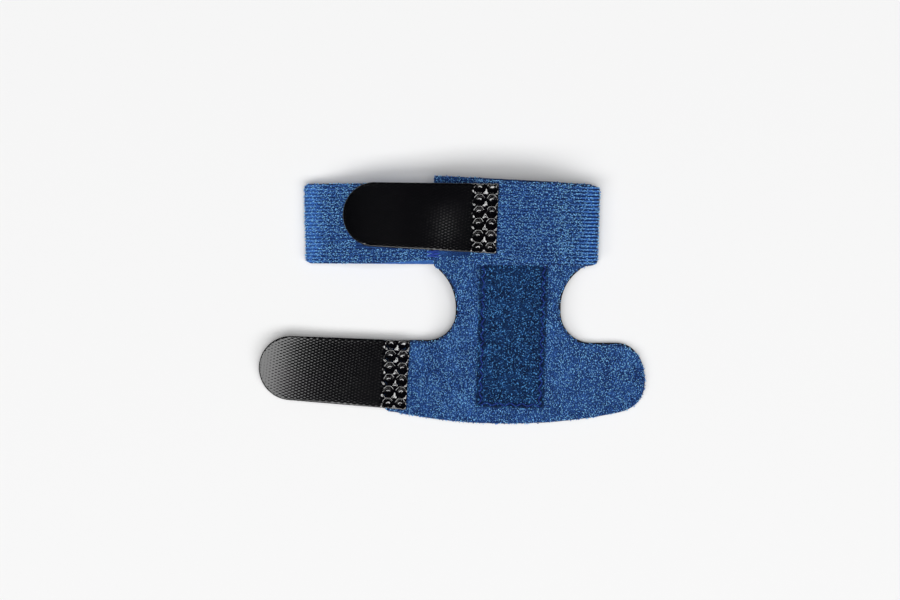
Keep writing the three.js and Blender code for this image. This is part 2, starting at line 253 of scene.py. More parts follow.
def cloth_material(name, colours, roughness, grain, mottle, mottle_share, sheen):
    """Cloth whose colour runs from its deep to its light shade with the shade attribute, fine grain and
    larger mottling, and whose bump is the grain."""
    material = bpy.data.materials.new(name)
    material.use_nodes = True
    tree = material.node_tree
    shader = tree.nodes["Principled BSDF"]
    place = node_in(tree, "ShaderNodeTexCoord").outputs["Object"]
    shade = node_in(tree, "ShaderNodeAttribute", attribute_name="shade").outputs["Fac"]
    fine = node_in(
        tree, "ShaderNodeTexNoise", {"Vector": place, "Scale": 1 / (grain * MM), "Detail": 3.0}
    ).outputs["Fac"]
    broad = node_in(
        tree, "ShaderNodeTexNoise", {"Vector": place, "Scale": 1 / (mottle * MM), "Detail": 2.0}
    ).outputs["Fac"]

    def weigh(value, share, add):
        return node_in(
            tree, "ShaderNodeMath", {0: value, 1: share, 2: add}, operation="MULTIPLY_ADD"
        ).outputs["Value"]

    mixed = weigh(shade, 1.0, weigh(fine, 0.5, weigh(broad, mottle_share, -0.25 - mottle_share / 2)))
    tree.links.new(
        ramp_in(tree, mixed, [(0.0, colours[0]), (0.5, colours[1]), (1.0, colours[2])]),
        shader.inputs["Base Color"],
    )
    bump = node_in(
        tree, "ShaderNodeBump", {"Height": fine, "Strength": 0.6, "Distance": 0.15 * MM}
    ).outputs["Normal"]
    tree.links.new(bump, shader.inputs["Normal"])
    shader.inputs["Roughness"].default_value = roughness
    shader.inputs["Specular IOR Level"].default_value = 0.15
    shader.inputs["Sheen Weight"].default_value = sheen
    shader.inputs["Sheen Roughness"].default_value = 0.5
    return material


plush_blue = cloth_material(
    "plush_blue",
    [(0.005, 0.019, 0.08), (0.068, 0.22, 0.66), (0.29, 0.66, 1.0)],
    roughness=0.85, grain=0.3, mottle=3.5, mottle_share=0.15, sheen=0.03,
)
core_black = cloth_material(
    "core_black",
    [(0.003, 0.003, 0.004), (0.006, 0.007, 0.010), (0.02, 0.02, 0.025)],
    roughness=0.8, grain=0.3, mottle=3, mottle_share=0.2, sheen=0.0,
)
lining_navy = cloth_material(
    "lining_navy",
    [(0.004, 0.012, 0.045), (0.014, 0.04, 0.12), (0.05, 0.11, 0.24)],
    roughness=0.9, grain=0.25, mottle=5, mottle_share=0.3, sheen=0.1,
)
waist_low = -10.5
waist_high = 9
panel_columns = (-29.5, 33)
panel_rows = (-27.5, 32)
cloth_shade = 0.05


def core_shows(y):
    """Whether the cut edge shows its dark core here: round the waist and on the wings' tops."""
    return waist_low < y < waist_high


def plush_edge(x, y):
    """How far the plush stands back from the cut edge."""
    return 0.34 if core_shows(y) else 0.02


def core_edge(x, y):
    """How far the core stands back from the cut edge."""
    return 0.02 if core_shows(y) else 0.25


def lining_edge(x, y):
    return 0.15


def lay_panel(name, low, high, trim_by, turn, pitch, levels):
    """One layer of the laminate between two heights, with its edge trimmed back and turned."""
    bm = pattern_of("body_panel")
    trim(bm, trim_by)
    rule_grid(bm, np.arange(*panel_columns, pitch), np.arange(*panel_rows, pitch))
    thicken(bm, low, high, panel_under, turn)
    return subdivided(mesh_from(bm, name), levels)


panel_plush = lay_panel(
    "panel_plush", core_high - layer_overlap, panel_thickness, plush_edge, turn=0.55, pitch=1.5, levels=2
)
panel_places = places_of(panel_plush)
panel_rise = 0.06 * lumps(panel_places, 4.5, 1) + 0.05 * lumps(panel_places, 1.3, 2)
raise_surface(panel_plush, panel_rise)
# The plush is painted darker in its low hollows and lighter on its bumps: painted shade that follows the
# relief.
shade_with(panel_plush, cloth_shade + panel_rise)
panel_core = lay_panel(
    "panel_core", core_low - layer_overlap, core_high, core_edge, turn=0.1, pitch=3, levels=1
)
shade_evenly(panel_core, 0.5)
panel_lining = lay_panel("panel_lining", 0, core_low, lining_edge, turn=0.1, pitch=3, levels=1)
shade_evenly(panel_lining, 0.5)

# The loop pile
# The blue face is a brushed nylon loop pile. Its small flattened loops stand up and lean all ways, catch the
# light in short strokes, and make the cut edges fuzzy.
loop_shape = bmesh.new()
bmesh.ops.create_uvsphere(loop_shape, u_segments=3, v_segments=3, radius=1)
loop_corners = np.array([v.co[:] for v in loop_shape.verts])
loop_faces = [[v.index for v in f.verts] for f in loop_shape.faces]
loop_shape.free()
well_above = 30
lowest_loop = 0.8


def plant_loops(name, places, normals, along, size, shades, rng):
    """One mesh of small loops: each an arched strand at its place, laid along its own direction. size gives
    the strand's length, thickness, arch and bend, and how far it may tilt."""
    count = len(places)
    along = along - normals * (along * normals).sum(1)[:, None]
    along /= np.linalg.norm(along, axis=1)[:, None]
    beside = np.cross(normals, along)
    length = size["length"] * rng.uniform(0.6, 1.3, count)
    thick = size["thickness"] * rng.uniform(0.7, 1.3, count)
    arch = size["arch"] * rng.uniform(0.4, 1.4, count)
    bend = size["bend"] * rng.uniform(-1, 1, count)
    tilt = size["tilt"] * rng.uniform(-1, 1, count)
    rows = []
    for across, through, run in loop_corners:
        middle = 1 - run * run
        u = run * length / 2
        v = bend * middle * length + across * thick / 2
        w = arch * (middle * 1.33 - 0.15) + through * thick / 2 + tilt * run * length
        rows.append(places + along * u[:, None] + beside * v[:, None] + normals * w[:, None])
    co = np.stack(rows, 1).reshape(-1, 3)
    corners = np.concatenate([np.array(face) for face in loop_faces])
    sizes = np.array([len(face) for face in loop_faces])
    step = np.arange(count) * len(loop_corners)
    mesh = bpy.data.meshes.new(name)
    mesh.vertices.add(len(co))
    mesh.vertices.foreach_set("co", co.ravel())
    mesh.loops.add(len(corners) * count)
    mesh.loops.foreach_set("vertex_index", (corners[None, :] + step[:, None]).ravel())
    mesh.polygons.add(len(sizes) * count)
    starts = np.concatenate([[0], np.cumsum(sizes)[:-1]])
    mesh.polygons.foreach_set(
        "loop_start", (starts[None, :] + np.arange(count)[:, None] * len(corners)).ravel()
    )
    mesh.update(calc_edges=True)
    shade_with(mesh, np.repeat(shades, len(loop_corners)))
    return mesh


def scattered(low, high, pitch, rng):
    """Spots in a box, one in each cell of a grid, so that they cover it evenly."""
    columns = np.arange(low[0], high[0], pitch)
    rows = np.arange(low[1], high[1], pitch)
    spots = np.stack(np.meshgrid(columns, rows), -1).reshape(-1, 2)
    return spots + rng.uniform(0, pitch, spots.shape)


def seeds_on(mesh, low, high, pitch, rng, keep):
    """Places and normals where loops stand on the upper side of a sheet, in a box seen from above."""
    tree = BVHTree.FromPolygons(
        [v.co for v in mesh.vertices], [p.vertices[:] for p in mesh.polygons]
    )
    spots = scattered(low, high, pitch, rng)
    spots = spots[keep(spots[:, 0], spots[:, 1])]
    places, normals = [], []
    for x, y in spots:
        place, normal, _, _ = tree.ray_cast(Vector((x, y, well_above)), Vector((0, 0, -1)))
        if place is not None and place.z > lowest_loop:
            places.append(place[:])
            normals.append(normal[:])
    return np.array(places), np.array(normals)


def headings(count, rng, angle, spread):
    """Directions in the sheet's plane about an angle, in degrees from +X."""
    turn = np.radians(angle + spread * rng.uniform(-1, 1, count))
    return np.stack([np.cos(turn), np.sin(turn), np.zeros(count)], 1)


pile_low = (-30.2, -28)
pile_high = (33, 32)
pile_pitch = 0.39
pile_size = {"length": 0.5, "thickness": 0.22, "arch": 0.2, "bend": 0.3, "tilt": 0.06}
draw = np.random.default_rng(11)
pocket_middle = 1.1
pocket_turn = math.radians(-1.5)
pocket_lean = math.tan(-pocket_turn)
under_pocket = {"half_width": 7.6, "low": -24}
# What else covers the panel's face: its left, right, low and high sides
covers = {
    "lap": (-8.5, math.inf, 11.4, 27.8),
    "upper tab": (-math.inf, -8.5, 12.2, 26.8),
    "lower weld": (-math.inf, -24.6, -24, -8.6),
}


def bare_panel(x, y):
    """Where the panel's face isn't covered by the pocket, the strap or a tab."""
    beside = x - pocket_middle - y * pocket_lean
    covered = (np.abs(beside) < under_pocket["half_width"]) & (y > under_pocket["low"])
    for left, right, low, high in covers.values():
        covered = covered | ((x > left) & (x < right) & (y > low) & (y < high))
    return ~covered


spots, facing = seeds_on(panel_plush, pile_low, pile_high, pile_pitch, draw, bare_panel)
shades = 0.16 + 0.86 * draw.beta(0.7, 0.62, len(spots)) + 0.06 * lumps(spots, 2.5, 4)
panel_pile = plant_loops(
    "panel_pile", spots, facing, headings(len(spots), draw, 90, 75), pile_size, shades, draw
)

panel_piece = piece("panel_plush", panel_plush, plush_blue)
core_piece = piece("panel_core", panel_core, core_black)
lining_piece = piece("panel_lining", panel_lining, lining_navy)
pile_piece = piece("panel_pile", panel_pile, plush_blue)
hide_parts("body_panel")

# The stay pocket
# A long patch of darker, closer loop cloth down the middle of the panel, sewn on with dark-blue zigzag
# inside its edges. It holds a flat stay, so it stands a little proud between its two seams.
pocket_thickness = 1.0
lay_gap = 0.15
pocket_width = 16.3
pocket_low = -24.1
pocket_high = 26.6
pocket_length = 51.1
pocket_centre = (pocket_low + pocket_high) / 2
pocket_pitch = 0.41
pocket_from = (-8.5, -26)
pocket_to = (11, 28)
lap_low = 12.2
lap_high = 27.6
bare_rim = 0.2
seam_inset = 1.05
stitch_pitch = 2.75
stitch_width = 0.85
stitch_depth = 0.27
stitch_rise = 0.36

pocket_blue = cloth_material(
    "pocket_blue",
    [(0.001, 0.007, 0.03), (0.028, 0.13, 0.4), (0.16, 0.52, 1.0)],
    roughness=0.9, grain=0.28, mottle=2.2, mottle_share=0.2, sheen=0.03,
)


def pocket_under(x, y):
    return panel_under(x, y) + panel_thickness + lay_gap


def pocket_frame(places):
    """Across and along the pocket, from its middle."""
    x = places[:, 0] - pocket_middle
    y = places[:, 1] - pocket_centre
    cosine, sine = math.cos(pocket_turn), math.sin(pocket_turn)
    return x * cosine + y * sine, -x * sine + y * cosine


def from_pocket_edge(across, lengthwise):
    return np.minimum(pocket_width / 2 - np.abs(across), pocket_length / 2 - np.abs(lengthwise))


pocket_cloth = pattern_of("stay_pocket")
trim(pocket_cloth, lambda x, y: 0.05)
rule_grid(
    pocket_cloth, np.arange(pocket_from[0], pocket_to[0]), np.arange(pocket_from[1] + 0.5, pocket_to[1])
)
thicken(pocket_cloth, 0, pocket_thickness, pocket_under, turn=0.45)
pocket_cloth = subdivided(mesh_from(pocket_cloth, "stay_pocket"), 2)
pocket_places = places_of(pocket_cloth)
across, lengthwise = pocket_frame(pocket_places)
seam_groove = np.exp(-(((from_pocket_edge(across, lengthwise) - seam_inset) / 0.34) ** 2))
# A short slanting crease runs into the seam at each side
crease = np.exp(-((((lengthwise + 8.2) + (np.abs(across) - 7.2) * 1.25) / 0.3) ** 2))
crease = crease * (np.abs(across) > 6) * (np.abs(across) < 7.6)
upward = places_of(pocket_cloth, "normal")[:, 2] > 0.3
pocket_rise = 0.05 * lumps(pocket_places, 3, 5) + 0.04 * lumps(pocket_places, 1, 6)
pocket_rise = (pocket_rise - 0.2 * seam_groove - 0.18 * crease) * upward
raise_surface(pocket_cloth, pocket_rise)
# The pocket cloth is painted darker where it dips, in the seam grooves and the creases: painted shade that
# follows the relief.
shade_with(pocket_cloth, cloth_shade + pocket_rise)

pocket_size = {"length": 0.53, "thickness": 0.24, "arch": 0.2, "bend": 0.3, "tilt": 0.08}


def bare_pocket(x, y):
    """Where the lap doesn't cover the pocket."""
    return (y < lap_low) | (y > lap_high)


spots, facing = seeds_on(pocket_cloth, pocket_from, pocket_to, pocket_pitch, draw, bare_pocket)
spots_across, spots_along = pocket_frame(spots)
sunk_and_shaded = np.exp(-(((from_pocket_edge(spots_across, spots_along) - seam_inset) / 0.4) ** 2))
kept = draw.uniform(0, 1, len(spots)) > 0.5 * sunk_and_shaded
bare_edge = (spots_across > pocket_width / 2 - bare_rim) | (spots_along < bare_rim - pocket_length / 2)
kept = kept & ~bare_edge
spots, facing, sunk_and_shaded = spots[kept], facing[kept], sunk_and_shaded[kept]
# Loops by the seam line are fewer and painted darker: painted shade in the seam's groove.
shades = 0.05 + 0.95 * draw.beta(0.8, 1.0, len(spots)) + 0.08 * lumps(spots, 1.8, 7) - 0.2 * sunk_and_shaded
pocket_pile = plant_loops(
    "pocket_pile", spots, facing, headings(len(spots), draw, 60, 90), pocket_size, shades, draw
)
pocket_piece = piece("pocket_cloth", pocket_cloth, pocket_blue)
pocket_pile_piece = piece("pocket_pile", pocket_pile, pocket_blue)
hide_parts("stay_pocket")

thread_blue = cloth_material(
    "thread_blue",
    [(0.01, 0.025, 0.15), (0.03, 0.07, 0.4), (0.09, 0.16, 0.62)],
    roughness=0.45, grain=0.12, mottle=2, mottle_share=0.4, sheen=0.0,
)


def sew(name, runs, thickness, shade):
    """Threads through the cloth: a round thread along each run of points, as one piece."""
    line = bpy.data.curves.new(name, "CURVE")
    line.dimensions = "3D"
    line.bevel_depth = thickness / 2
    line.bevel_resolution = 1
    line.use_fill_caps = True
    for run in runs:
        spline = line.splines.new("POLY")
        spline.points.add(len(run) - 1)
        spline.points.foreach_set("co", np.column_stack([run, np.ones(len(run))]).ravel())
    obj = bpy.data.objects.new("work", line)
    bpy.context.scene.collection.objects.link(obj)
    mesh = bpy.data.meshes.new_from_object(obj.evaluated_get(bpy.context.evaluated_depsgraph_get()))
    bpy.data.objects.remove(obj)
    shade_evenly(mesh, shade)
    return piece(name, mesh, thread_blue)


def zigzag(start, end, pitch, width, rng, steps=6):
    """Points along a zigzag of stitches between two points on a flat drawing, with how far through each
    stitch they are."""
    start, end = np.array(start, float), np.array(end, float)
    length = np.linalg.norm(end - start)
    run = (end - start) / length
    side = np.array([-run[1], run[0]])
    count = max(2, int(round(2 * length / pitch)))
    needles = []
    for i in range(count + 1):
        wander = rng.uniform(-0.08, 0.08, 2)
        needles.append(
            start + run * (length * i / count + wander[0]) + side * ((i % 2 - 0.5) * width + wander[1])
        )
    points, through = [], []
    for a, b in zip(needles, needles[1:]):
        for step in range(steps):
            points.append(a + (b - a) * step / steps)
            through.append(step / steps)
    points.append(needles[-1])
    through.append(0)
    return np.array(points), np.array(through)


seam_half = pocket_width / 2 - seam_inset
seam_end = pocket_length / 2 - seam_inset
seam_corners = [
    (-seam_half, -seam_end), (seam_half, -seam_end), (seam_half, seam_end), (-seam_half, seam_end)
]
pocket_threads = []
for first, second in zip(seam_corners, seam_corners[1:] + seam_corners[:1]):
    flat, through = zigzag(first, second, stitch_pitch, stitch_width, draw)
    cosine, sine = math.cos(pocket_turn), math.sin(pocket_turn)
    x = pocket_middle + flat[:, 0] * cosine - flat[:, 1] * sine
    y = pocket_centre + flat[:, 0] * sine + flat[:, 1] * cosine
    z = pocket_under(x, y) + pocket_thickness - stitch_depth + stitch_rise * np.sin(np.pi * through)
    pocket_threads.append(np.column_stack([x, y, z]))
pocket_thread_piece = sew("pocket_stitches", pocket_threads, 0.27, shade=0.25)

# The long strap
# A strip of stretch loop cloth, butt-sewn to the panel's left edge. It runs left, folds under, crosses the
# table beneath the panel, folds tightly round the panel's right edge and lies back over panel and pocket.
strap_width = 19.0
strap_middle = 20.0
seam_x = -17.85
level_run = 14
left_reach = 30.7
lap_reach = 30.7
panel_half = 19.4
panel_flare = 9.5 * math.tan(math.radians(2))
fold_room = 0.5
lap_on_pocket = crown + panel_thickness + 2 * lay_gap + pocket_thickness
half_strap = strap_thickness / 2
upper_level = crown + half_strap
left_radius = 0.78
left_centre = seam_x - left_reach + left_radius + half_strap
outside = panel_half + panel_flare + fold_room + strap_thickness
wall_x = outside - half_strap
right_radius = 1.2
fold_centre = wall_x - right_radius
climb_top = pocket_middle + pocket_width / 2 + strap_middle * pocket_lean + lay_gap
climb_length = 3
lap_level_from = arch_falls["right_start"]
lap_end = outside - lap_reach
end_radius = 2.4
edge_round = 0.5
wale_pitch = 0.82
wale_shallow = 0.02
wale_opening = 0.08


def straight(start, end):
    """A straight line from start to end, by its share from 0 to 1, as the other lines of the strap are."""
    return lambda share: (
        start[0] + (end[0] - start[0]) * share,
        start[1] + (end[1] - start[1]) * share,
    )


def turned(centre, radius, first, last):
    def at(share):
        angle = math.radians(first + (last - first) * share)
        return centre[0] + radius * math.cos(angle), centre[1] + radius * math.sin(angle)

    return at


def above(surface, first, last):
    """A line that lies half the strap's thickness above surface(x) all the way, square to it."""

    def at(share):
        x = first + (last - first) * share
        slope = (surface(x + 0.01) - surface(x - 0.01)) / 0.02
        square = half_strap / math.hypot(1, slope)
        return x - slope * square, float(surface(x)) + square

    return at


def lap_lies(x):
    """What the lap lies on: the panel's slope, and the pocket left of where it climbs."""
    on_pocket = 1 - smoothstep(x, climb_top, climb_top + climb_length)
    return arch_under(x - 0.35) + panel_thickness + lay_gap + (pocket_thickness + lay_gap) * on_pocket


left_middle = half_strap + left_radius
wall_foot = half_strap + right_radius
wall_head = float(lap_lies(fold_centre)) + half_strap - right_radius
high_level = lap_on_pocket + half_strap

# Each stretch: its line from the front, and the strap's shift, lean, spread and pinch at its end. A shift,
# spread or pinch is a share of the strap's width, and a lean is in degrees.
at_seam = (0.015, 0, -0.05, 0)
strap_stretches = [
    (straight((seam_x, upper_level), (seam_x - level_run, upper_level)), 0, 0, 0, 0),
    (above(arch_under, seam_x - level_run, left_centre), 0, -1.3, 0, 0),
    (turned((left_centre, left_middle), left_radius, 90, 180), 0, -1.3, 0, 0.035),
    (turned((left_centre, left_middle), left_radius, 180, 270), 0, -1.3, 0, 0),
    (straight((left_centre, half_strap), (fold_centre, half_strap)), -0.025, 0.5, 0, 0),
    (turned((fold_centre, wall_foot), right_radius, -90, 0), -0.03, 1.5, 0, 0.035),
    (straight((wall_x, wall_foot), (wall_x, wall_head)), -0.03, 2, 0, 0.035),
    (turned((fold_centre, wall_head), right_radius, 0, 90), -0.03, 2, 0.01, 0),
    (above(lap_lies, fold_centre, lap_level_from), -0.015, 1.2, 0.03, 0),
    (straight((lap_level_from, high_level), (lap_end, high_level)), 0.01, 0, 0.065, 0),
]


def strap_stations(spacing):
    """The strap's middle, its directions along, through and across, and its half width, every so often."""
    before = at_seam
    rows = []
    for line, *form in strap_stretches:
        count = max(2, int(math.dist(line(0), line(1)) * (1.1 if len(rows) else 1) / spacing) + 1)
        if line(0)[0] != line(1)[0] and line(0)[1] != line(1)[1]:
            count = max(count, 9)
        for step in range(0 if not rows else 1, count + 1):
            share = step / count
            x, z = line(share)
            x0, z0 = line(max(0, share - 0.01))
            x1, z1 = line(min(1, share + 0.01))
            shift, lean, spread = (a + (b - a) * share for a, b in zip(before[:3], form[:3]))
            ease = share**2 if form[3] > before[3] else 1 - (1 - share) ** 2
            pinch = before[3] + (form[3] - before[3]) * ease
            rows.append((x, z, x1 - x0, z1 - z0, shift, lean, spread, pinch))
        before = form
    return np.array(rows)


stations = strap_stations(0.55)
run_length = np.concatenate([[0], np.cumsum(np.hypot(*np.diff(stations[:, :2], axis=0).T))])
strap_length = run_length[-1]
along_line = stations[:, 2:4] / np.hypot(stations[:, 2], stations[:, 3])[:, None]
lean_line = np.radians(stations[:, 5])
middle_line = np.column_stack(
    [stations[:, 0], strap_middle + stations[:, 4] * strap_width, stations[:, 1]]
)
through_line = np.column_stack([-along_line[:, 1], np.zeros(len(stations)), along_line[:, 0]])
across_line = np.column_stack([np.sin(lean_line), np.cos(lean_line), np.zeros(len(stations))])
to_end = np.clip((strap_length - run_length) / end_radius, 0, 1)
corner_inset = end_radius * (1 - np.sqrt(np.clip(1 - (1 - to_end) ** 2, 0, 1)))
half_width = strap_width * ((1 + stations[:, 6]) / 2 - stations[:, 7]) - corner_inset
left_fold = left_reach
right_fold = run_length[np.argmax(stations[:, 0])]


def on_strap(run, share, height):
    """A point on the strap: its run from the seam, its share of the half width and its height from the
    middle of the cloth, towards the pile side."""

    def at(line):
        return np.column_stack([np.interp(run, run_length, line[:, i]) for i in range(3)])

    half = np.interp(run, run_length, half_width)
    outwards = -at(through_line)
    return at(middle_line) + at(across_line) * (share * half)[:, None] + outwards * height[:, None]


def wales_open(run):
    """How far the grooves between the wales stand open, from 0 to 1: most where the cloth is bent."""
    bent = 0.4 * np.exp(-(((run - left_fold) / 4) ** 2)) + np.exp(-(((run - right_fold - 2) / 5) ** 2))
    return np.clip(bent, 0, 1)


def wale_depth(run):
    return wale_shallow + wale_opening * wales_open(run)


def wale_at(distance):
    """How near a line at this distance from the strap's middle is to the top of a wale, from 0 to 1."""
    return 0.5 + 0.5 * np.cos(2 * np.pi * distance / wale_pitch)


def edge_drop_at(distance):
    """How far the pile side drops in the strap's rounded edge, at a distance in from the edge."""
    inwards = edge_round - np.minimum(distance, edge_round)
    return edge_round - np.sqrt(np.clip(edge_round**2 - inwards**2, 0, None))


def painted_fold_highlight(run):
    """How near the cloth is to its two folds, where its colour is painted lighter as a painted highlight on
    the bent cloth.
    """
    at_left = np.exp(-(((run - left_fold) / 3.2) ** 2))
    at_right = np.exp(-(((run - right_fold - 3) / 3) ** 2))
    return at_left + 0.75 * at_right


outer_steps = 98
inner_steps = 20
ring = []
for step in range(outer_steps + 1):
    ring.append((-1 + 2 * step / outer_steps, 1))
for step in range(inner_steps + 1):
    ring.append((1 - 2 * step / inner_steps, -1))
ring_shares = np.array([r[0] for r in ring])
ring_sides = np.array([r[1] for r in ring])

strap_bm = bmesh.new()
bmesh.ops.create_grid(strap_bm, x_segments=len(stations) - 1, y_segments=len(ring), size=0.5)
grid_places = np.array([v.co[:] for v in strap_bm.verts])
station_index = np.rint((grid_places[:, 0] + 0.5) * (len(stations) - 1)).astype(int)
ring_index = np.rint((grid_places[:, 1] + 0.5) * len(ring)).astype(int) % len(ring)
run = run_length[station_index]
share = ring_shares[ring_index]
side = ring_sides[ring_index]
half_here = half_width[station_index]
edge_drop = edge_drop_at((1 - np.abs(share)) * half_here)
wale = wale_at(share * half_here)
height = side * (half_strap - edge_drop) - (side > 0) * wale_depth(run) * (1 - wale)
end_taper = 0.25 * (1 - np.clip((strap_length - run) / 0.5, 0, 1)) ** 2
height = height * (1 - end_taper)
strap_places = on_strap(run, share, height)
for vert, place in zip(strap_bm.verts, strap_places):
    vert.co = place
strap_bm.verts.ensure_lookup_table()
shade_layer = strap_bm.verts.layers.float.new("shade")
back_shade = 0.3
# Painted shade darkens the grooves between the wales, the more where they stand open, and a painted
# highlight lightens the cloth near the folds.
strap_shade = 0.07 + (wale - 0.7) * (0.15 + 0.5 * wales_open(run)) + 0.25 * painted_fold_highlight(run)
strap_shade = np.where(side > 0, strap_shade, back_shade)
for vert, value in zip(strap_bm.verts, strap_shade):
    vert[shade_layer] = float(value)
bmesh.ops.remove_doubles(strap_bm, verts=strap_bm.verts, dist=0.004)
bmesh.ops.holes_fill(strap_bm, edges=[e for e in strap_bm.edges if e.is_boundary], sides=0)
bmesh.ops.recalc_face_normals(strap_bm, faces=strap_bm.faces[:])
strap_cloth = mesh_from(strap_bm, "long_strap")
raise_surface(strap_cloth, 0.05 * lumps(places_of(strap_cloth), 1.6, 8))


def strap_loops(first, last, pitch, rng):
    """Loops on the strap's pile side between two runs, with how much each is painted lighter or darker."""
    spots = scattered((first, -strap_width / 2), (last, strap_width / 2), pitch, rng)
    run = np.clip(spots[:, 0], 0, strap_length)
    share = np.clip(spots[:, 1] * 2 / strap_width, -0.995, 0.995)
    half = np.interp(run, run_length, half_width)
    wale = wale_at(share * half)
    open_wales = wales_open(run)
    kept = rng.uniform(0, 1, len(run)) > (1 - wale) * (0.2 + 0.75 * open_wales)
    run, share, half, wale, open_wales = (a[kept] for a in (run, share, half, wale, open_wales))
    edge = (1 - np.abs(share)) * half
    height = half_strap - edge_drop_at(edge) - wale_depth(run) * (1 - wale)
    places = on_strap(run, share, height)
    normals = on_strap(run, share, height + 1) - places
    sideways = on_strap(run, np.sign(share), height) - on_strap(run, np.zeros(len(run)), height)
    lean = np.clip(1 - edge / edge_round, 0, 1) ** 2
    normals = normals + sideways / np.linalg.norm(sideways, axis=1)[:, None] * lean[:, None]
    normals /= np.linalg.norm(normals, axis=1)[:, None]
    ahead = on_strap(np.minimum(run + 0.3, strap_length), share, height)
    behind = on_strap(np.maximum(run - 0.3, 0), share, height)
    forward = ahead - behind
    forward /= np.linalg.norm(forward, axis=1)[:, None]
    beside = np.cross(normals, forward)
    turn = rng.normal(0, 1, len(run)) * (0.75 - 0.5 * open_wales)
    along = forward * np.cos(turn)[:, None] + beside * np.sin(turn)[:, None]
    # Painted shade in the grooves between the wales, painted light where they stand open and a painted
    # highlight near the folds.
    painted_light_and_shade = (wale - 0.75) * (0.1 + 0.6 * open_wales) + 0.1 * open_wales + 0.34 * painted_fold_highlight(run)
    return places, normals, along, painted_light_and_shade


strap_size = {"length": 0.5, "thickness": 0.22, "arch": 0.19, "bend": 0.25, "tilt": 0.05}
seen_pitch = 0.39
turned_pitch = 0.5
past_left = left_fold + 0.3
# The runs that carry loops, each with the pitch of its loops; between them the strap lies under the rest
piled_runs = [
    (0, past_left, seen_pitch),
    (past_left, past_left + 11, turned_pitch),
    (right_fold - 8, right_fold, turned_pitch),
    (right_fold, strap_length, seen_pitch),
]
sections = [strap_loops(first, last, pitch, draw) for first, last, pitch in piled_runs]
spots, facing, along, painted_light_and_shade = (np.concatenate(parts) for parts in zip(*sections))
# The upper tab covers the loops here
on_upper_run = (spots[:, 2] > 3) & (spots[:, 0] > -36) & (spots[:, 0] < -19)
hidden = on_upper_run & (np.abs(spots[:, 1] - 21.2) < 7.2)
spots, facing, along, painted_light_and_shade = (a[~hidden] for a in (spots, facing, along, painted_light_and_shade))
shades = 0.3 + 0.84 * draw.beta(0.7, 0.62, len(spots)) + 0.06 * lumps(spots, 2.5, 9) + painted_light_and_shade
strap_pile = plant_loops("strap_pile", spots, facing, along, strap_size, shades, draw)
strap_piece = piece("strap_cloth", strap_cloth, plush_blue)
strap_pile_piece = piece("strap_pile", strap_pile, plush_blue)
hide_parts("long_strap")

# The strap's seam
# The strap's end meets the panel's left edge, and a wide close zigzag of royal-blue thread holds the two.
seam_from = 11.9
seam_to = 29.2
seam_pitch = 0.8
seam_spread = 3.3
step_reach = 0.6
seam_points, through = zigzag((seam_x, seam_from), (seam_x, seam_to), seam_pitch, seam_spread, draw)
seam_z = upper_level + half_strap - 0.12 + 0.32 * np.sin(np.pi * through)
on_panel = smoothstep(seam_points[:, 0], seam_x - step_reach, seam_x + step_reach)
seam_z = seam_z + on_panel * (panel_thickness - strap_thickness)
seam_thread = np.column_stack([seam_points, seam_z])
seam_piece = sew("seam_stitches", [seam_thread], 0.36, shade=0.4)

# The hook tabs
# Each tab is a tongue of black woven hook tape with a round tip, hooks down. Its square end is welded to
# the cloth by two columns of hot pins that leave glossy pits with bright ridges between them.
tape_thickness = 0.45
tab_thickness = 1.0
tip_radius = 7.7
weld_half = 8.3
weld_rows = 6
weld_columns = 2
weld_row_pitch = 2.85
weld_column_pitch = 3.0
weld_margin = 1.5
weld_reach = 6.2


def weld_material():
    """Tape melted to a smooth black glaze."""
    material = bpy.data.materials.new("melted_black")
    material.use_nodes = True
    shader = material.node_tree.nodes["Principled BSDF"]
    shader.inputs["Base Color"].default_value = (0.002, 0.002, 0.003, 1)
    shader.inputs["Roughness"].default_value = 0.16
    shader.inputs["Specular IOR Level"].default_value = 1.0
    shader.inputs["Coat Weight"].default_value = 1.0
    shader.inputs["Coat Roughness"].default_value = 0.12
    shader.inputs["Coat IOR"].default_value = 1.9
    return material


